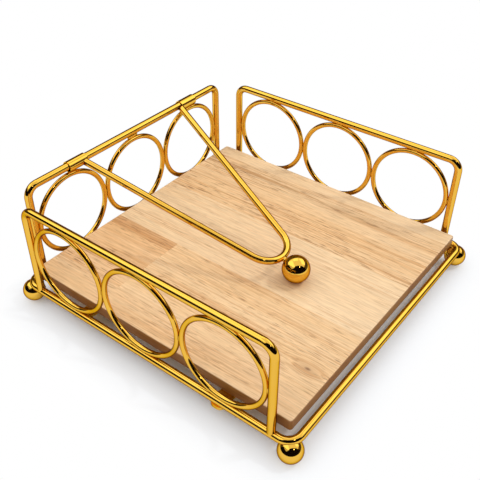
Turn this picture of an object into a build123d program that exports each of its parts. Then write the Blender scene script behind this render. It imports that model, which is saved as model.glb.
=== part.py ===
"""Flat napkin tray of plated wire: a wooden bed fenced on three sides by ringed panels, with a swinging arm."""
import os
from math import asin, cos, degrees, radians, sin

from build123d import *

# Wire stock, as diameters (all lengths in millimetres)
frame_wire = 4.5
ring_wire = 3.0
arm_stock = 4.2

# Ringed panels on the left, right and rear sides
ring_diameter = 52.0
rings_per_panel = 3
frame_bend_radius = 6.5
cope_share = 0.4

# Base ring: straight wires joined by round corners, with a short straight beside each upright
base_corner_radius = 7.5
corner_straight = 4.25

# Ball feet under the corners of the base ring, a little outside the bends and hollowed to take the wire
foot_diameter = 13.0
foot_drop = 6.0
foot_outset = 0.7

# Wooden bed
board_thickness = 7.0
board_side_gap = 2.25
board_end_gap = 1.75
board_corner_radius = 1.6
board_edge_radius = 0.7

# Two flat straps that pass under the base ring and step up to carry the bed
strap_width = 8.0
strap_thickness = 1.8
strap_rise = 4.9
strap_spacing = 97.0
strap_step_inset = 16.0
strap_step_run = 7.0
strap_bend_radius = 3.5
strap_end_radius = 3.0

# Wood screws that hold the bed down on the straps
screw_step_gap = 10.25
screw_shank = 3.0
screw_bite = 3.7
screw_tip = 1.2
screw_head = 6.4
screw_head_height = 1.8
screw_head_round = 1.1
screw_recess_span = 3.2
screw_recess_width = 0.8
screw_recess_depth = 1.0
screw_hole_play = 0.2
screw_pilot_play = 0.05

# Swinging arm: a bent wire on two loose sleeves that hang and turn on the rear rail, with a ball at its tip
arm_left_root = -40.8
arm_right_root = 43.6
arm_vertex_offset = -7.4
arm_vertex_reach = 165.0
arm_tip_radius = 14.0
arm_ball = 16.0
ball_neck = 3.2
ball_neck_gap = 0.5
arm_rest_gap = 0.3
sleeve_length = 13.0
sleeve_wall = 0.5
sleeve_play = 0.55
sleeve_seat_gap = 0.1
sleeve_ring_gap = 0.2
left_leg_inset = 2.1
right_leg_inset = 0.3

# Extra depth that carries a cut past the face it opens
overrun = 2.0

# Sizes that follow from the ones above
frame_radius = frame_wire / 2
ring_radius = (ring_diameter - ring_wire) / 2
upright_spacing = rings_per_panel * ring_diameter + frame_wire
base_size = upright_spacing + 2 * (corner_straight + base_corner_radius)
half_base = base_size / 2

base_level = foot_diameter / 2 + foot_drop
ring_level = base_level + (frame_wire + ring_diameter) / 2
side_rail_level = base_level + frame_wire + ring_diameter
upright_foot_level = base_level + cope_share * frame_radius

strap_level = base_level - frame_radius
board_level = strap_level + strap_rise
board_top = board_level + board_thickness
board_width = base_size - frame_wire - 2 * board_side_gap
board_depth = base_size - frame_wire - 2 * board_end_gap

sleeve_bore = frame_radius + sleeve_play
sleeve_radius = sleeve_bore + sleeve_wall
sleeve_level = ring_level + ring_diameter / 2 + sleeve_ring_gap + sleeve_radius
rear_rail_level = sleeve_level + sleeve_play - sleeve_seat_gap

# Places along a panel where its rings stand, counted from its middle
ring_places = [(i - (rings_per_panel - 1) / 2) * ring_diameter for i in range(rings_per_panel)]


def save(builder, name):
    """Name the finished piece and write it to its own file."""
    builder.part.label = name
    export_step(builder.part, f"parts/{name}.step")


os.makedirs("parts", exist_ok=True)

# Base ring: one wire bent to a square with round corners
with BuildPart() as base_ring:
    with BuildLine(Plane.XY.offset(base_level)) as base_path:
        FilletPolyline(
            (half_base, -half_base),
            (half_base, half_base),
            (-half_base, half_base),
            (-half_base, -half_base),
            radius=base_corner_radius,
            close=True,
        )
    with BuildSketch(Plane(base_path.line @ 0, z_dir=base_path.line % 0)):
        Circle(frame_radius)
    sweep()
save(base_ring, "base_ring")

# Panel planes: local x runs along the panel, local y points up, and the origin lies on the table
panel_planes = {
    "left": Plane((-half_base, 0, 0), x_dir=(0, -1, 0), z_dir=(-1, 0, 0)),
    "right": Plane((half_base, 0, 0), x_dir=(0, 1, 0), z_dir=(1, 0, 0)),
    "rear": Plane((0, half_base, 0), x_dir=(-1, 0, 0), z_dir=(0, 1, 0)),
}
rail_levels = {"left": side_rail_level, "right": side_rail_level, "rear": rear_rail_level}
ring_names = {
    "left": ["left_rear_ring", "left_middle_ring", "left_front_ring"],
    "right": ["right_front_ring", "right_middle_ring", "right_rear_ring"],
    "rear": ["rear_right_ring", "rear_middle_ring", "rear_left_ring"],
}

for side, plane in panel_planes.items():
    # Panel frame: a wire bent to an upturned U, its two ends saddled over the base ring
    with BuildPart() as panel_frame:
        with BuildLine(plane) as frame_path:
            FilletPolyline(
                (-upright_spacing / 2, upright_foot_level),
                (-upright_spacing / 2, rail_levels[side]),
                (upright_spacing / 2, rail_levels[side]),
                (upright_spacing / 2, upright_foot_level),
                radius=frame_bend_radius,
            )
        with BuildSketch(Plane(frame_path.line @ 0, z_dir=frame_path.line % 0)):
            Circle(frame_radius)
        sweep()
        add(base_ring.part, mode=Mode.SUBTRACT)
    save(panel_frame, f"{side}_frame")

    # Panel rings: hoops of thinner wire, each touching its neighbours and the base ring
    for place, ring_name in zip(ring_places, ring_names[side]):
        hoop_centre = plane.from_local_coords((place, ring_level, 0))
        with BuildPart(Plane(hoop_centre, x_dir=plane.x_dir, z_dir=plane.z_dir)) as panel_ring:
            Torus(ring_radius, ring_wire / 2)
        save(panel_ring, ring_name)

# Ball feet: each sits at the middle of a corner bend and is hollowed to take the wire
diagonal_share = cos(radians(45))
foot_place = half_base - base_corner_radius * (1 - diagonal_share) + foot_outset * diagonal_share
foot_places = {
    "front_left_foot": (-foot_place, -foot_place),
    "front_right_foot": (foot_place, -foot_place),
    "rear_left_foot": (-foot_place, foot_place),
    "rear_right_foot": (foot_place, foot_place),
}
for foot_name, (x, y) in foot_places.items():
    with BuildPart() as foot:
        with Locations((x, y, foot_diameter / 2)):
            Sphere(foot_diameter / 2)
        add(base_ring.part, mode=Mode.SUBTRACT)
    save(foot, foot_name)

# Straps: flat strips under the base ring, stepped up between its wires to meet the bed
step_foot = half_base - frame_radius - strap_step_inset + strap_step_run / 2
step_head = step_foot - strap_step_run
strap_places = {"front_strap": -strap_spacing / 2, "rear_strap": strap_spacing / 2}
strap_reaches = {"front_strap": half_base + frame_radius, "rear_strap": half_base}
screw_place = step_head - screw_step_gap
screw_xs = [-screw_place, screw_place]
for strap_name, y in strap_places.items():
    reach = strap_reaches[strap_name]
    with BuildPart() as strap:
        with BuildSketch(Plane((0, y, 0), x_dir=(1, 0, 0), z_dir=(0, -1, 0))):
            with BuildLine():
                FilletPolyline(
                    (-reach, strap_level),
                    (-step_foot, strap_level),
                    (-step_head, board_level),
                    (step_head, board_level),
                    (step_foot, strap_level),
                    (reach, strap_level),
                    radius=strap_bend_radius,
                )
                offset(amount=strap_thickness, side=Side.RIGHT)
            make_face()
        extrude(amount=strap_width / 2, both=True)
        strap_ends = strap.edges().filter_by(Axis.Z).group_by(Axis.X)
        fillet(strap_ends[0] + strap_ends[-1], radius=strap_end_radius)
        with BuildSketch(Plane.XY.offset(board_level)):
            with Locations([(x, y) for x in screw_xs]):
                Circle(screw_shank / 2 + screw_hole_play)
        extrude(amount=-strap_thickness - overrun, mode=Mode.SUBTRACT)
    save(strap, strap_name)

# Bed: a plain board with eased edges and blind pilot holes in its underside
with BuildPart() as board:
    with BuildSketch(Plane.XY.offset(board_level)):
        RectangleRounded(board_width, board_depth, board_corner_radius)
    extrude(amount=board_thickness)
    fillet(board.faces().sort_by(Axis.Z)[-1].edges(), radius=board_edge_radius)
    fillet(board.faces().sort_by(Axis.Z)[0].edges(), radius=board_edge_radius)
    with BuildSketch(Plane.XY.offset(board_level)):
        with Locations([(x, y) for x in screw_xs for y in strap_places.values()]):
            Circle(screw_shank / 2 + screw_pilot_play)
    extrude(amount=screw_bite + screw_tip, mode=Mode.SUBTRACT)
save(board, "board")

# Screws: crossed pan heads under the straps, shanks up into the bed, points at the top
head_level = board_level - strap_thickness
with BuildPart() as board_screws:
    with BuildSketch(Plane.XZ):
        with BuildLine():
            Polyline(
                (0, head_level - screw_head_height),
                (screw_head / 2, head_level - screw_head_height),
                (screw_head / 2, head_level),
                (screw_shank / 2, head_level),
                (screw_shank / 2, board_level + screw_bite - screw_tip),
                (0, board_level + screw_bite),
                close=True,
            )
        make_face()
    revolve(axis=Axis.Z)
    fillet(board_screws.faces().sort_by(Axis.Z)[0].edges(), radius=screw_head_round)
    with BuildSketch(Plane.XY.offset(head_level - screw_head_height)):
        Rectangle(screw_recess_span, screw_recess_width)
        Rectangle(screw_recess_width, screw_recess_span)
    extrude(amount=screw_recess_depth, mode=Mode.SUBTRACT)
screw = board_screws.part
with BuildPart() as board_screws:
    with Locations([(x, y) for x in screw_xs for y in strap_places.values()]):
        add(screw)
save(board_screws, "board_screws")

# Arm geometry: the two legs would meet at the vertex, and the tip bend is tangent to both
arm_vertex = Vector(arm_vertex_offset, arm_vertex_reach)
left_leg = (Vector(arm_left_root, 0) - arm_vertex).normalized()
right_leg = (Vector(arm_right_root, 0) - arm_vertex).normalized()
tip_inward = (left_leg + right_leg).normalized()
half_angle = radians(left_leg.get_angle(right_leg) / 2)
tip_bend_centre = arm_vertex + tip_inward * (arm_tip_radius / sin(half_angle))
ball_reach = arm_tip_radius + (arm_stock + arm_ball) / 2 + ball_neck_gap
ball_place = tip_bend_centre - tip_inward * ball_reach

# At rest the arm slopes down from its sleeves until its ball lies on the bed
ball_level = board_top + arm_rest_gap + arm_ball / 2
arm_slope = asin((sleeve_level - ball_level) / ball_place.Y)
arm_plane = Plane(
    (0, half_base, sleeve_level),
    x_dir=(1, 0, 0),
    z_dir=(0, sin(arm_slope), -cos(arm_slope)),
)

# Arm wire: two legs and a round tip, the leg ends saddled over the sleeves
with BuildPart() as arm_wire:
    with BuildLine(arm_plane) as arm_path:
        FilletPolyline(
            (arm_left_root, 0),
            (arm_vertex_offset, arm_vertex_reach),
            (arm_right_root, 0),
            radius=arm_tip_radius,
        )
    with BuildSketch(Plane(arm_path.line @ 0, z_dir=arm_path.line % 0)):
        Circle(arm_stock / 2)
    sweep()
    with BuildSketch(Plane((0, half_base, sleeve_level), z_dir=(1, 0, 0))):
        Circle(sleeve_radius)
    extrude(amount=upright_spacing / 2, both=True, mode=Mode.SUBTRACT)
save(arm_wire, "arm_wire")

# Sleeves: short tubes that hang loosely on the rear rail, each welded to one leg near its inner end
sleeve_starts = {
    "left_sleeve": arm_left_root + left_leg_inset - sleeve_length,
    "right_sleeve": arm_right_root - right_leg_inset,
}
for sleeve_name, start in sleeve_starts.items():
    with BuildPart() as sleeve:
        with BuildSketch(Plane((start, half_base, sleeve_level), z_dir=(1, 0, 0))):
            Circle(sleeve_radius)
            Circle(sleeve_bore, mode=Mode.SUBTRACT)
        extrude(amount=sleeve_length)
    save(sleeve, sleeve_name)

# Arm ball: a ball with a short neck that is welded to the outside of the tip bend
ball_centre = arm_plane.from_local_coords(ball_place)
neck_axis = arm_plane.from_local_coords(tip_bend_centre) - ball_centre
with BuildPart() as tip_ball:
    with BuildSketch(Plane(ball_centre, z_dir=neck_axis)):
        Circle(ball_neck / 2)
    extrude(amount=(arm_ball + arm_stock) / 2 + ball_neck_gap)
    with Locations(ball_centre):
        Sphere(arm_ball / 2)
    add(arm_wire.part, mode=Mode.SUBTRACT)
save(tip_ball, "arm_ball")

# Swing of the arm, from its rest on the bed over the rear rail to the table behind the tray
table_angle = asin((sleeve_level - arm_ball / 2 - arm_rest_gap) / ball_place.Y)
print(f"base {base_size:.2f} overall {base_size + frame_wire:.2f}")
print(f"rear rail axis at z {rear_rail_level:.2f}, sleeve axis at z {sleeve_level:.2f}")
print(f"board {board_width:.2f} x {board_depth:.2f}, top at z {board_top:.2f}")
print(f"arm ball at {tuple(round(v, 2) for v in ball_centre)}, slope {degrees(arm_slope):.2f} degrees")
print(f"arm swing {degrees(arm_slope) + 180 + degrees(table_angle):.2f} degrees")
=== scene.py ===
# %% [markdown]
# # A flat napkin tray of gold-plated wire
# The tray is bent and welded from three sizes of steel wire, plated bright gold, and it carries a pale
# wooden bed. A V-shaped arm with a ball at its tip swings on the rear rail and keeps the napkins down.
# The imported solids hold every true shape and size, so this lesson adds what solids lack: weld beads,
# finishes, light and a camera.

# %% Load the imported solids
from math import cos, radians, sin, tan

import bpy
import numpy as np
from mathutils import Matrix, Vector


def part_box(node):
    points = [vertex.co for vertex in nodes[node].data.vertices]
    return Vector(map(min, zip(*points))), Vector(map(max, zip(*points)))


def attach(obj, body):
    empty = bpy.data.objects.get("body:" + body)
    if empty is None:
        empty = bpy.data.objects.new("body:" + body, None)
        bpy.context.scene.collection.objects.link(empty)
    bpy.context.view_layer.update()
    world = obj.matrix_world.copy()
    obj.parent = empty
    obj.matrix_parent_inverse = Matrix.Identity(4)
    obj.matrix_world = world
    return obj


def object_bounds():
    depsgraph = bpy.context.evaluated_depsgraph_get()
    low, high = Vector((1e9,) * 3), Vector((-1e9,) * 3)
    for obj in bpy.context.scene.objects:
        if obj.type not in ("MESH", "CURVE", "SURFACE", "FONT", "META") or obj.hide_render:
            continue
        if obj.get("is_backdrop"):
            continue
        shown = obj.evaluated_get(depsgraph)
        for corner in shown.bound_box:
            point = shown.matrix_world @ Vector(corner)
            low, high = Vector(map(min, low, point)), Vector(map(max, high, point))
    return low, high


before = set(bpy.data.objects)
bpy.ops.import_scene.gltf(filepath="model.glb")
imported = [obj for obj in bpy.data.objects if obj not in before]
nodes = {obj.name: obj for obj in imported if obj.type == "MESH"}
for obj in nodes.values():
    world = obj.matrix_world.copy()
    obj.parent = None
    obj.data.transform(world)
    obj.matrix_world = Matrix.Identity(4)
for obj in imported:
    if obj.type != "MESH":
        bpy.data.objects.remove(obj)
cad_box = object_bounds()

MM = 0.001
lowest, highest = (np.round(np.array(corner) / MM, 1) for corner in cad_box)
print(f"{len(nodes)} nodes in a box from {lowest} to {highest} mm")

# %% [markdown]
# Colours are written as sRGB hex values, the way a paint chart gives them, and one function turns them to
# the linear light that shaders work in. One more small function adds a shader node, sets it and links it,
# so that each material below reads as a short recipe.

# %% Helpers for colours, shader nodes and materials
def linear(hex_colour):
    """sRGB to linear light: c / 12.92 near black, otherwise ((c + 0.055) / 1.055) to the power 2.4."""
    c = np.array([int(hex_colour[i:i + 2], 16) for i in (1, 3, 5)]) / 255
    c = np.where(c <= 0.04045, c / 12.92, ((c + 0.055) / 1.055) ** 2.4)
    return (*c.tolist(), 1.0)


def add(tree, kind, inputs=None, **settings):
    """Add a node of this kind: settings are its properties, inputs are sockets to link or values to set."""
    node = tree.nodes.new(kind)
    for name, value in settings.items():
        setattr(node, name, value)
    for name, value in (inputs or {}).items():
        if isinstance(value, bpy.types.NodeSocket):
            tree.links.new(value, node.inputs[name])
        else:
            node.inputs[name].default_value = value
    return node


def new_material(name):
    """A node material with nothing in it but its output."""
    material = bpy.data.materials.new(name)
    material.use_nodes = True
    material.node_tree.nodes.clear()
    return material, material.node_tree, material.node_tree.nodes.new("ShaderNodeOutputMaterial")


def dress(names, material):
    """Give each named node this one material."""
    for name in names:
        nodes[name].data.materials.clear()
        nodes[name].data.materials.append(material)
    print(f"{material.name}: {len(names)} nodes")


print(f"middle grey #808080 is {linear('#808080')[0]:.3f} in linear light")

# %% [markdown]
# ## Bright gold plate under clear lacquer
# The wire is drawn steel, polished, flashed with nickel and electroplated with gold, then dipped in clear
# lacquer so that it doesn't tarnish. It is a mirror with a yellow tint, and the lacquer lays a thin
# colourless shine over it. The shader's edge tint is set to a dark brown, so that seen at a slant the
# plate sends back less light, and browner: a painted shade that draws the dark line along both sides of
# every wire. What keeps the plate from looking like a perfect mirror is a slow waviness left by bending
# and polishing, a fine orange peel in the lacquer, and a tint that is redder where the plate is thin.

# %% Gold plate
PLATE_CLOUD = 16.0 * MM
BEND_WAVE = 7.0 * MM
BEND_DEPTH = 0.25 * MM
ORANGE_PEEL = 1.1 * MM
PEEL_DEPTH = 0.1 * MM
THICK_PLATE = "#f1c250"
THIN_PLATE = "#e8b03c"
# A dark brown edge tint: painted shade that draws a dark line along both sides of every wire
PAINTED_EDGE_SHADE = "#703a08"


def gold_plate():
    material, tree, out = new_material("bright gold electroplate under clear lacquer")
    place = add(tree, "ShaderNodeTexCoord").outputs["Object"]
    cloud, wave, peel = (
        add(tree, "ShaderNodeTexNoise", {"Vector": place, "Scale": 1 / size, "Detail": detail}).outputs["Fac"]
        for size, detail in ((PLATE_CLOUD, 2.0), (BEND_WAVE, 0.0), (ORANGE_PEEL, 1.0)))
    tint = add(tree, "ShaderNodeMix", {
        "Factor": cloud, "A": linear(THICK_PLATE), "B": linear(THIN_PLATE)}, data_type="RGBA")
    haze = add(tree, "ShaderNodeMapRange", {"Value": cloud, "To Min": 0.015, "To Max": 0.05})
    slow = add(tree, "ShaderNodeBump", {"Height": wave, "Strength": 0.10, "Distance": BEND_DEPTH})
    fine = add(tree, "ShaderNodeBump", {
        "Height": peel, "Normal": slow.outputs[0], "Strength": 0.04, "Distance": PEEL_DEPTH})
    plate = add(tree, "ShaderNodeBsdfPrincipled", {
        "Base Color": tint.outputs["Result"], "Metallic": 1.0, "Roughness": haze.outputs["Result"],
        "Specular Tint": linear(PAINTED_EDGE_SHADE), "Coat Weight": 0.06, "Coat Roughness": 0.02,
        "Normal": fine.outputs[0]})
    tree.links.new(plate.outputs["BSDF"], out.inputs["Surface"])
    return material


gold = gold_plate()
dress([name for name in nodes if name not in ("board", "board_screws")], gold)

# %% [markdown]
# ## Zinc on the screws
# The screws hold the bed from below. Bright zinc plate is a duller mirror than the gold, faintly blue, and
# cloudy where the bath was uneven.

# %% Zinc plate
ZINC_CLOUD = 2.5 * MM
ZINC_DEPTH = 0.1 * MM
PALE_ZINC = "#d3d6d6"
BLUE_ZINC = "#b4babf"


def zinc_plate():
    material, tree, out = new_material("bright zinc plate on pressed screws")
    place = add(tree, "ShaderNodeTexCoord").outputs["Object"]
    cloud = add(tree, "ShaderNodeTexNoise", {
        "Vector": place, "Scale": 1 / ZINC_CLOUD, "Detail": 3.0}).outputs["Fac"]
    tint = add(tree, "ShaderNodeMix", {
        "Factor": cloud, "A": linear(PALE_ZINC), "B": linear(BLUE_ZINC)}, data_type="RGBA")
    haze = add(tree, "ShaderNodeMapRange", {"Value": cloud, "To Min": 0.22, "To Max": 0.42})
    bump = add(tree, "ShaderNodeBump", {"Height": cloud, "Strength": 0.1, "Distance": ZINC_DEPTH})
    plate = add(tree, "ShaderNodeBsdfPrincipled", {
        "Base Color": tint.outputs["Result"], "Metallic": 1.0, "Roughness": haze.outputs["Result"],
        "Normal": bump.outputs[0]})
    tree.links.new(plate.outputs["BSDF"], out.inputs["Surface"])
    return material


dress(["board_screws"], zinc_plate())

# %% [markdown]
# ## Rubberwood bed
# The bed is cut from an edge-glued panel: staves about 49 mm wide lie side by side with their grain to the
# front, and each stave has a tone of its own. Along the grain run broad soft bands, brown streaks in
# clusters, and short dark dashes where the saw cut through pores. Near the front left corner the grain
# bends round a small knot. A picture of wood would stop at the top face. This pattern is solid, as in
# real wood, so the end faces show the same bands and pores cut across.

# %% Rubberwood: the staves
STAVE_WIDTH = 48.8 * MM
STAVE_LINE = -21.4 * MM
STAVE_JOINT = 39.0 * MM
JOINTED_STAVE = -1.0
CHART_START = 0.42
CHART_STEP = 0.2
CHART_REAR_STEP = 0.1
STAVE_TONES = {0.0: ("#eabf8b", 0.8), 0.2: ("#f0c793", 0.9), 0.3: ("#edbd86", 1.0),
               0.4: ("#f3d0a2", 0.5), 0.6: ("#f0c692", 1.0), 0.8: ("#f3cfa0", 0.5)}


def staves(tree, axes):
    """Each stave is a step in x, and one of them is made of two lengths that meet at the joint. A key picks
    the tone of a length from a chart, whose alpha says how streaked that length is."""
    count = add(tree, "ShaderNodeMath", {
        0: axes["X"], 1: 1 / STAVE_WIDTH, 2: -STAVE_LINE / STAVE_WIDTH}, operation="MULTIPLY_ADD").outputs[0]
    stave = add(tree, "ShaderNodeMath", {0: count}, operation="FLOOR").outputs[0]
    across = add(tree, "ShaderNodeMath", {0: count}, operation="FRACT").outputs[0]
    behind = add(tree, "ShaderNodeMath", {
        0: axes["Y"], 1: STAVE_JOINT}, operation="GREATER_THAN").outputs[0]
    jointed = add(tree, "ShaderNodeMath", {
        0: stave, 1: JOINTED_STAVE, 2: 0.5}, operation="COMPARE").outputs[0]
    rear = add(tree, "ShaderNodeMath", {0: behind, 1: jointed}, operation="MULTIPLY").outputs[0]
    key = add(tree, "ShaderNodeMath", {
        0: stave, 1: CHART_STEP, 2: CHART_START}, operation="MULTIPLY_ADD").outputs[0]
    key = add(tree, "ShaderNodeMath", {
        0: rear, 1: CHART_REAR_STEP, 2: key}, operation="MULTIPLY_ADD").outputs[0]
    chart = add(tree, "ShaderNodeValToRGB", {"Fac": key})
    stops = chart.color_ramp.elements
    chart.color_ramp.interpolation = "CONSTANT"
    for spot, (tone, streaked) in STAVE_TONES.items():
        stop = stops[0] if spot == 0.0 else stops.new(spot)
        stop.color = (*linear(tone)[:3], streaked)
    stops.remove(stops[-1])
    return key, rear, across, chart.outputs


board_low, board_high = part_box("board")
print(f"{(board_high.x - board_low.x) / STAVE_WIDTH:.1f} staves across the bed")

# %% Rubberwood: the run of the grain
KNOT = (-56.5 * MM, -76.4 * MM, 20.0 * MM)
KNOT_OVAL = (1.0, 0.5, 0.0)
KNOT_REACH = 9.0 * MM
KNOT_PULL = -0.7
SWAY = 5.0 * MM
SWAY_WIDTH = 62.5 * MM
SWAY_LENGTH = 167.0 * MM
STAVE_JUMP = 3.1


def grain_run(tree, place, key):
    """Grain coordinates: the place, bowed out round the knot, plus a slow sway and a jump for each stave."""
    from_knot = add(tree, "ShaderNodeVectorMath", {0: place, 1: KNOT}, operation="SUBTRACT").outputs[0]
    oval = add(tree, "ShaderNodeVectorMath", {0: from_knot, 1: KNOT_OVAL}, operation="MULTIPLY").outputs[0]
    reach = add(tree, "ShaderNodeVectorMath", {0: oval}, operation="LENGTH").outputs["Value"]
    pull = add(tree, "ShaderNodeMapRange", {
        "Value": reach, "From Max": KNOT_REACH, "To Min": KNOT_PULL, "To Max": 0.0},
        interpolation_type="SMOOTHSTEP").outputs["Result"]
    bow = add(tree, "ShaderNodeVectorMath", {0: from_knot, "Scale": pull}, operation="SCALE").outputs[0]
    bent = add(tree, "ShaderNodeVectorMath", {0: place, 1: bow}, operation="ADD").outputs[0]
    slow = add(tree, "ShaderNodeMapping", {
        "Vector": place, "Scale": (1 / SWAY_WIDTH, 1 / SWAY_LENGTH, 1 / SWAY_WIDTH)}).outputs[0]
    sway = add(tree, "ShaderNodeTexNoise", {"Vector": slow, "Scale": 1.0, "Detail": 1.0}).outputs["Fac"]
    sway = add(tree, "ShaderNodeMath", {0: sway, 1: SWAY}, operation="MULTIPLY").outputs[0]
    jump = add(tree, "ShaderNodeMath", {0: key, 1: STAVE_JUMP}, operation="MULTIPLY").outputs[0]
    shift = add(tree, "ShaderNodeCombineXYZ", {"X": sway, "Y": jump, "Z": key}).outputs[0]
    grain = add(tree, "ShaderNodeVectorMath", {0: bent, 1: shift}, operation="ADD").outputs[0]
    return grain, reach


# %% Rubberwood: layers along the grain
# Width, length and detail of each layer. Real fibres and pores are finer than a pixel of the picture, so
# these two are drawn as coarse as they need to show.
GRAIN_LAYERS = {"band": (11.0 * MM, 260.0 * MM, 2.0), "cluster": (13.0 * MM, 170.0 * MM, 1.0),
                "streak": (1.1 * MM, 100.0 * MM, 3.0), "fibre": (0.9 * MM, 11.0 * MM, 4.0),
                "pore": (0.7 * MM, 9.0 * MM, 2.0)}


def grain_layers(tree, grain):
    """One noise for each layer, stretched to its width and length."""
    layers = {}
    for layer, (width, length, detail) in GRAIN_LAYERS.items():
        stretched = add(tree, "ShaderNodeMapping", {
            "Vector": grain, "Scale": (1 / width, 1 / length, 1 / width)}).outputs[0]
        layers[layer] = add(tree, "ShaderNodeTexNoise", {
            "Vector": stretched, "Scale": 1.0, "Detail": detail}).outputs["Fac"]
    return layers


# %% Rubberwood: bands, streaks, a dark strip, pores and the knot
PALE_BAND = "#f8dab1"
BROWN_STREAK = "#cd9459"
# A darker strip along the right edge of the jointed stave's rear length
DARK_STRIP_TONE = "#c78d55"
DARK_STRIP_START_SHARE = 0.83
DARK_STRIP_DEPTH = 0.5
OPEN_PORE = "#966337"
KNOT_TONES = {"#c48a56": (0.3, 0.5 * MM, 6.0 * MM), "#7d4f2a": (0.75, 0.3 * MM, 1.1 * MM)}


def figure(tree, layers, streaked, across, rear):
    """How much each tone covers: a soft range of its layer, held back where the stave is less streaked.
    The rear length of the jointed stave is darker along a strip at its right edge."""
    lift = add(tree, "ShaderNodeMapRange", {
        "Value": layers["band"], "From Min": 0.35, "From Max": 0.7, "To Max": 0.4}).outputs["Result"]
    where = add(tree, "ShaderNodeMapRange", {
        "Value": layers["cluster"], "From Min": 0.4, "From Max": 0.62,
        "To Min": 0.3, "To Max": 0.85}).outputs["Result"]
    where = add(tree, "ShaderNodeMath", {0: where, 1: streaked}, operation="MULTIPLY").outputs[0]
    brown = add(tree, "ShaderNodeMapRange", {
        "Value": layers["streak"], "From Min": 0.46, "From Max": 0.64, "To Max": where}).outputs["Result"]
    dark_strip = add(tree, "ShaderNodeMath", {
        0: across, 1: DARK_STRIP_START_SHARE}, operation="GREATER_THAN").outputs[0]
    dark_strip = add(tree, "ShaderNodeMath", {0: dark_strip, 1: rear}, operation="MULTIPLY").outputs[0]
    dark_strip = add(tree, "ShaderNodeMath", {0: dark_strip, 1: DARK_STRIP_DEPTH}, operation="MULTIPLY").outputs[0]
    dashes = add(tree, "ShaderNodeMapRange", {
        "Value": layers["pore"], "From Min": 0.55, "From Max": 0.7, "To Max": where}).outputs["Result"]
    return {PALE_BAND: lift, BROWN_STREAK: brown, DARK_STRIP_TONE: dark_strip, OPEN_PORE: dashes}


def knot_tones(tree, reach):
    """A brown halo, then a dark core: each is strongest inside its inner radius and ends at its outer one."""
    covers = {}
    for tone, (depth, inner, outer) in KNOT_TONES.items():
        covers[tone] = add(tree, "ShaderNodeMapRange", {
            "Value": reach, "From Min": inner, "From Max": outer,
            "To Min": depth, "To Max": 0.0}).outputs["Result"]
    return covers


# %% Rubberwood: the finished surface
FIBRE_SHADES = (0.87, 1.07)
# Painted light: the bed is darkened at the front and lightened at the rear, to even out how the light on it
# falls off towards the rear
FRONT_PAINTED_SHADE = 0.96
REAR_PAINTED_LIGHT = 1.06
# A darker brown multiplied over the upright faces of the bed
UPRIGHT_FACE_BROWN = "#a98553"
FIBRE_DEPTH = 0.06 * MM


def rubberwood():
    material, tree, out = new_material("edge-glued rubberwood, sanded and lacquered")
    coords = add(tree, "ShaderNodeTexCoord").outputs
    place = coords["Object"]
    axes = add(tree, "ShaderNodeSeparateXYZ", {0: place}).outputs
    key, rear, across, chart = staves(tree, axes)
    grain, reach = grain_run(tree, place, key)
    layers = grain_layers(tree, grain)
    covers = figure(tree, layers, chart["Alpha"], across, rear) | knot_tones(tree, reach)
    colour = chart["Color"]
    for tone, cover in covers.items():
        colour = add(tree, "ShaderNodeMix", {
            "Factor": cover, "A": colour, "B": linear(tone)}, data_type="RGBA").outputs["Result"]

    # Fine fibres lighten and darken everything a little, and the bed is darkened at the front and lightened
    # towards the rear: painted light that evens out a fall of the light towards the rear
    shade = add(tree, "ShaderNodeMapRange", {
        "Value": layers["fibre"], "From Min": 0.3, "From Max": 0.7,
        "To Min": FIBRE_SHADES[0], "To Max": FIBRE_SHADES[1]}).outputs["Result"]
    painted_light_drift = add(tree, "ShaderNodeMapRange", {
        "Value": axes["Y"], "From Min": board_low.y, "From Max": board_high.y,
        "To Min": FRONT_PAINTED_SHADE, "To Max": REAR_PAINTED_LIGHT}).outputs["Result"]
    shade = add(tree, "ShaderNodeMath", {0: shade, 1: painted_light_drift}, operation="MULTIPLY").outputs[0]
    colour = add(tree, "ShaderNodeHueSaturation", {"Value": shade, "Color": colour}).outputs[0]

    # The upright faces are multiplied by a darker brown
    facing = add(tree, "ShaderNodeSeparateXYZ", {0: coords["Normal"]}).outputs["Z"]
    facing = add(tree, "ShaderNodeMath", {0: facing}, operation="ABSOLUTE").outputs[0]
    edge = add(tree, "ShaderNodeMapRange", {
        "Value": facing, "From Min": 0.3, "From Max": 0.8, "To Min": 1.0, "To Max": 0.0}).outputs["Result"]
    colour = add(tree, "ShaderNodeMix", {
        "Factor": edge, "A": colour, "B": linear(UPRIGHT_FACE_BROWN)},
        data_type="RGBA", blend_type="MULTIPLY").outputs["Result"]

    # Satin lacquer that sinks a little into the pores
    haze = add(tree, "ShaderNodeMapRange", {
        "Value": layers["fibre"], "To Min": 0.36, "To Max": 0.52}).outputs["Result"]
    relief = add(tree, "ShaderNodeMath", {
        0: layers["fibre"], 1: covers[OPEN_PORE]}, operation="SUBTRACT").outputs[0]
    bump = add(tree, "ShaderNodeBump", {
        "Height": relief, "Strength": 0.25, "Distance": FIBRE_DEPTH}).outputs[0]
    wood = add(tree, "ShaderNodeBsdfPrincipled", {"Base Color": colour, "Roughness": haze, "Normal": bump})
    tree.links.new(wood.outputs["BSDF"], out.inputs["Surface"])
    return material


dress(["board"], rubberwood())

# %% [markdown]
# ## Weld beads
# Every hoop is spot-welded where it touches its neighbours, the uprights, the base ring and its rail. The
# weld leaves a small bead that fills the groove between the two wires, and the plating covers it. The rear
# rail runs a little above its hoops, so the bead on the middle one is a taller drop that bridges the space.
# The places follow from the hoops' own boxes, so they hold when the hoops change. The beads could be
# modelled one by one, but they are all one shape, so a single function makes them at once.

# %% Weld beads: the places
FRAME_WIRE = 4.5 * MM
UNBRIDGED_HOOPS = ("rear_left_ring", "rear_right_ring")


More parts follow.
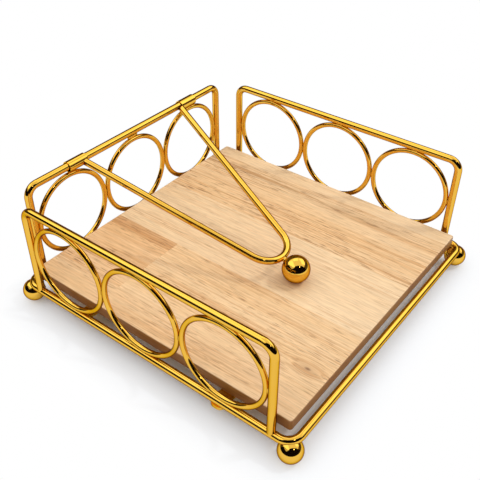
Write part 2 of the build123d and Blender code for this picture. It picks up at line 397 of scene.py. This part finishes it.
def weld_places():
    """Contacts of each hoop, from its box: bottom, both sides, and the top with the space up to the rail."""
    welds, upright = {}, np.eye(3)[2]
    for name in (n for n in nodes if n.endswith("_ring") and n != "base_ring"):
        low, high = (np.array(corner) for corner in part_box(name))
        middle, half = (low + high) / 2, (high - low) / 2
        side, normal = np.eye(3)[np.argmax(half[:2])], np.eye(3)[np.argmin(half[:2])]
        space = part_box(name.split("_")[0] + "_frame")[1].z - FRAME_WIRE - high[2]
        contacts = [(-half[2] * upright, side, 0.0)]
        contacts += [(end * side * half, upright, 0.0) for end in (1, -1)]
        if name not in UNBRIDGED_HOOPS:
            contacts.append(((half[2] + space / 2) * upright, side, space))
        for offset, run, gap in contacts:
            welds[tuple(np.round(middle + offset, 5))] = (run, normal, gap)
    along, across, spaces = (np.array(column) for column in zip(*welds.values()))
    return np.array(list(welds)), along, across, spaces


centres, along, across, spaces = weld_places()
print(f"{len(centres)} welds, the widest space {spaces.max() / MM:.2f} mm")

# %% Weld beads: the ovals
BEAD_LENGTH = 5.0 * MM
BEAD_HEIGHT = 1.9 * MM
BEAD_BREADTH = 2.3 * MM


def beads(rounds=10, turns=14):
    """Ovals: centre + half length * cos(v) along the wires + sin(v) * (height * cos(u) and breadth * sin(u))
    across; a space between the wires makes a bead taller by itself and longer by twice as much."""
    v = np.linspace(0, np.pi, rounds + 1)[1:-1, None, None]
    u = np.linspace(0, 2 * np.pi, turns, endpoint=False)[:, None]
    length = (along * (BEAD_LENGTH / 2 + spaces[:, None]))[:, None, None]
    height = (np.cross(across, along) * (BEAD_HEIGHT + spaces[:, None]) / 2)[:, None, None]
    breadth = (across * BEAD_BREADTH / 2)[:, None, None]
    belts = np.cos(v) * length + np.sin(v) * (np.cos(u) * height + np.sin(u) * breadth)
    tips = np.concatenate([length[:, 0], -length[:, 0]], axis=1)
    points = np.concatenate([belts.reshape(len(centres), -1, 3), tips], axis=1) + centres[:, None]

    row, col = np.meshgrid(np.arange(rounds - 2), np.arange(turns), indexing="ij")
    first, second = row * turns + col, row * turns + (col + 1) % turns
    quads = np.stack([first, first + turns, second + turns, second], axis=-1).reshape(-1, 4)
    tip = (rounds - 1) * turns
    near = np.stack([np.full(turns, tip), first[0], second[0]], axis=-1)
    far = np.stack([np.full(turns, tip + 1), second[-1] + turns, first[-1] + turns], axis=-1)
    step = np.arange(len(centres))[:, None, None] * points.shape[1]
    faces = [(part + step).reshape(-1, part.shape[1]).tolist() for part in (quads, near, far)]
    return points, sum(faces, [])


def new_piece(name, points, faces, material):
    """Put whole arrays of points and faces into a smooth mesh object at the origin."""
    mesh = bpy.data.meshes.new(name)
    mesh.from_pydata(points.reshape(-1, 3).tolist(), [], faces)
    mesh.polygons.foreach_set("use_smooth", np.ones(len(mesh.polygons), dtype=bool))
    mesh.materials.append(material)
    piece = bpy.data.objects.new(name, mesh)
    bpy.context.scene.collection.objects.link(piece)
    return piece


points, faces = beads()
weld_beads = new_piece("weld_beads", points, faces, gold)
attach(weld_beads, "frame")
print(f"{len(points)} weld beads of {points.shape[1]} points")

# %% [markdown]
# ## White paper
# The tray stands on white paper, which keeps the real shadow near the tray; from there out the paper's
# material fades the shadow into a painted white, plain white further out that covers any shadow there.
# More light would bleach the tray as well, so the white comes from the paper's own material. From below
# the paper is clear, so that a view from there shows the underside.

# %% White paper floor
PAPER_HALF = 4.0
PAPER_WHITE = "#eff3f9"
SHADE_HALF = 84.0 * MM
SHADE_REACH = 31.0 * MM


def seen_directly(tree):
    """One for a ray from the camera, a mirror or a glass, and zero for light that is scattered."""
    rays = add(tree, "ShaderNodeLightPath").outputs
    total = add(tree, "ShaderNodeMath", {
        0: rays["Is Camera Ray"], 1: rays["Is Glossy Ray"]}, operation="ADD").outputs[0]
    return add(tree, "ShaderNodeMath", {0: total, 1: rays["Is Transmission Ray"]}, operation="ADD").outputs[0]


def white_paper():
    material, tree, out = new_material("white seamless paper")
    shaded = (SHADE_HALF, SHADE_HALF, 0)
    away = add(tree, "ShaderNodeTexCoord").outputs["Object"]
    away = add(tree, "ShaderNodeVectorMath", {0: away}, operation="ABSOLUTE").outputs[0]
    away = add(tree, "ShaderNodeVectorMath", {0: away, 1: shaded}, operation="SUBTRACT").outputs[0]
    away = add(tree, "ShaderNodeVectorMath", {0: away, 1: (0, 0, 0)}, operation="MAXIMUM").outputs[0]
    away = add(tree, "ShaderNodeVectorMath", {0: away}, operation="LENGTH").outputs["Value"]
    # Painted white: none within SHADE_HALF, rising to full over SHADE_REACH, which fades the shadow out and
    # covers any shadow further out
    painted_white_ramp = add(tree, "ShaderNodeMapRange", {"Value": away, "From Max": SHADE_REACH}).outputs["Result"]
    painted_white_share = add(tree, "ShaderNodeMath", {
        0: seen_directly(tree), 1: painted_white_ramp}, operation="MULTIPLY").outputs[0]
    white = add(tree, "ShaderNodeEmission", {"Strength": 1.0}).outputs[0]
    paper = add(tree, "ShaderNodeBsdfDiffuse", {"Color": linear(PAPER_WHITE)}).outputs[0]
    above = add(tree, "ShaderNodeMixShader", {0: painted_white_share, 1: paper, 2: white}).outputs[0]
    beneath = add(tree, "ShaderNodeNewGeometry").outputs["Backfacing"]
    clear = add(tree, "ShaderNodeBsdfTransparent").outputs[0]
    sheet = add(tree, "ShaderNodeMixShader", {0: beneath, 1: above, 2: clear})
    tree.links.new(sheet.outputs[0], out.inputs["Surface"])
    return material


corners = np.array([(-1, -1, 0), (1, -1, 0), (1, 1, 0), (-1, 1, 0)]) * PAPER_HALF
floor = new_piece("paper_floor", corners, [[0, 1, 2, 3]], white_paper())
floor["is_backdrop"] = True
print(f"paper floor {2 * PAPER_HALF:.0f} m wide, shaded {(SHADE_HALF + SHADE_REACH) / MM:.0f} mm each way")

# %% [markdown]
# ## What the metal mirrors
# Polished metal shows what stands around it, and what the tray shows is a bright room with a darker rim at
# eye level and a large dark patch on the near side, where the picture was taken from. Both are patches of a
# dome that the camera can't see. The rim also takes some of the low light away, which deepens the shadow
# under the tray; the drape only serves the reflections.

# %% Rim and drape
RIM_RADIUS = 3.4
RIM_COLOUR = "#6b5f56"
RIM_TOPS = {0: 28, 20: 34, 35: 42, 60: 42, 80: 34, 100: 28, 360: 28}
DRAPE_RADIUS = 3.0
DRAPE_COLOUR = "#120b09"
DRAPE_TOPS = {112: 0, 125: 38, 150: 46, 172: 47, 186: 49, 190: 54,
              200: 62, 240: 66, 265: 58, 285: 46, 292: 26, 300: 0}


def cloth(name, colour, weave=2.0 * MM):
    """A dull cloth whose weave breaks up its tone."""
    material, tree, out = new_material(name)
    place = add(tree, "ShaderNodeTexCoord").outputs["Object"]
    weft = add(tree, "ShaderNodeTexNoise", {"Vector": place, "Scale": 1 / weave}).outputs["Fac"]
    haze = add(tree, "ShaderNodeMapRange", {"Value": weft, "To Min": 0.85, "To Max": 1.0}).outputs["Result"]
    shader = add(tree, "ShaderNodeBsdfPrincipled", {
        "Base Color": linear(colour), "Roughness": haze, "Specular IOR Level": 0.1})
    tree.links.new(shader.outputs["BSDF"], out.inputs["Surface"])
    return material


def dome_patch(tops, radius, columns=97, bands=16):
    """Part of a dome: at each azimuth the elevation runs from the floor to its own top, and a point is
    radius * (cos elevation * cos azimuth, cos elevation * sin azimuth, sin elevation)."""
    spread = np.linspace(min(tops), max(tops), columns)
    azimuth = np.radians(spread)[:, None]
    top = np.radians(np.interp(spread, list(tops), list(tops.values())))[:, None]
    elevation = top * np.linspace(0, 1, bands)
    level = np.cos(elevation)
    points = radius * np.stack([level * np.cos(azimuth), level * np.sin(azimuth), np.sin(elevation)], axis=-1)
    row, col = np.meshgrid(np.arange(columns - 1), np.arange(bands - 1), indexing="ij")
    first = row * bands + col
    quads = np.stack([first, first + 1, first + bands + 1, first + bands], axis=-1)
    return points, quads.reshape(-1, 4).tolist()


rim = new_piece("dim_rim", *dome_patch(RIM_TOPS, RIM_RADIUS), cloth("grey wool", RIM_COLOUR))
drape = new_piece("dark_drape", *dome_patch(DRAPE_TOPS, DRAPE_RADIUS), cloth("black velvet", DRAPE_COLOUR))
drape.visible_diffuse = False
for hidden in (rim, drape):
    hidden.visible_camera = False
    hidden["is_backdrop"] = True
    print(f"{hidden.name}: {len(hidden.data.polygons)} faces")

# %% White room
world = bpy.data.worlds.new("white room")
bpy.context.scene.world = world
world.use_nodes = True
room = world.node_tree.nodes["Background"].inputs
room["Color"].default_value = (1, 1, 1, 1)
room["Strength"].default_value = 1.0
print(f"{world.name}: strength {room['Strength'].default_value:.1f}")

# %% [markdown]
# ## Lamps
# A small key lamp on the right throws the arm's soft shadow across the bed; its own mirror image is hidden,
# because it would be a spark on every wire. Three broad windows, on the right, the left and the rear, lay
# the pale bands along the wires, and a small lamp near the camera puts a speck on each ball. Each lamp is
# given as it looks from the tray, in degrees and brightness, because that is what the metal shows.

# %% Softboxes
LAMP_DISTANCE = 2.5


def softbox(name, azimuth, elevation, width, height, brightness):
    """A lamp seen from the tray as width by height degrees: its sides are 2 * distance * tan(angle / 2), and
    its power is brightness * pi * area."""
    lamp = bpy.data.lights.new(name, "AREA")
    lamp.shape = "RECTANGLE"
    lamp.size, lamp.size_y = (2 * LAMP_DISTANCE * tan(radians(angle) / 2) for angle in (width, height))
    lamp.energy = brightness * np.pi * lamp.size * lamp.size_y
    a, e = radians(azimuth), radians(elevation)
    towards = Vector((cos(e) * cos(a), cos(e) * sin(a), sin(e)))
    piece = bpy.data.objects.new(name, lamp)
    aim = towards.to_track_quat("Z", "Y").to_matrix().to_4x4()
    piece.matrix_world = Matrix.Translation(towards * LAMP_DISTANCE) @ aim
    bpy.context.scene.collection.objects.link(piece)
    print(f"{name}: {lamp.energy:.1f} W")
    return piece


key_lamp = softbox("key_lamp", azimuth=317, elevation=53, width=4, height=4, brightness=115.0)
key_lamp.visible_glossy = False
softbox("right_window", azimuth=338, elevation=42, width=44, height=28, brightness=0.75)
softbox("left_window", azimuth=138, elevation=52, width=70, height=34, brightness=0.7)
softbox("rear_window", azimuth=45, elevation=60, width=30, height=24, brightness=0.7)
softbox("speck_lamp", azimuth=256, elevation=50, width=5, height=5, brightness=9.0)

# %% [markdown]
# ## Camera
# The camera stands where the photograph was taken from: its place, aim and focal length were worked out
# from the straight wires, which all run along the three axes.

# %% Camera
CAMERA_AZIMUTH = -52.57
CAMERA_ELEVATION = 37.76
CAMERA_DISTANCE = 438.0 * MM
CAMERA_TARGET = Vector((14.3, 19.6, 12.5)) * MM
CAMERA_ROLL = 0.27
FOCAL_PIXELS = 702.6
PHOTO_PIXELS = 480
SENSOR = 36.0
NEAR_CLIP = 10.0 * MM

azimuth, elevation, roll = (radians(angle) for angle in (CAMERA_AZIMUTH, CAMERA_ELEVATION, CAMERA_ROLL))
back = Vector((sin(azimuth) * cos(elevation), -cos(azimuth) * cos(elevation), sin(elevation)))
level = Vector((cos(azimuth), sin(azimuth), 0))
raised = back.cross(level)
right = cos(roll) * level + sin(roll) * raised
up = cos(roll) * raised - sin(roll) * level

camera = bpy.data.objects.new("camera", bpy.data.cameras.new("camera"))
camera.data.sensor_fit = "HORIZONTAL"
camera.data.sensor_width = SENSOR
camera.data.lens = SENSOR * FOCAL_PIXELS / PHOTO_PIXELS
camera.data.clip_start = NEAR_CLIP
turn = Matrix((right, up, back)).transposed().to_4x4()
camera.matrix_world = Matrix.Translation(CAMERA_TARGET + CAMERA_DISTANCE * back) @ turn
bpy.context.scene.collection.objects.link(camera)
bpy.context.scene.camera = camera
bpy.context.scene.view_settings.view_transform = "Standard"
stand = np.round(np.array(camera.matrix_world.translation) / MM, 1)
print(f"camera lens {camera.data.lens:.1f} mm at {stand} mm")

# %% [markdown]
# ## Sizes
# The box of the dressed tray is printed, to stand beside the box of the solids printed at the start.
# The dressed tray has to stay inside the box of the solids.

# %% Sizes
visual_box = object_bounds()
lowest, highest = (np.round(np.array(corner) / MM, 1) for corner in visual_box)
print(f"dressed tray in a box from {lowest} to {highest} mm")
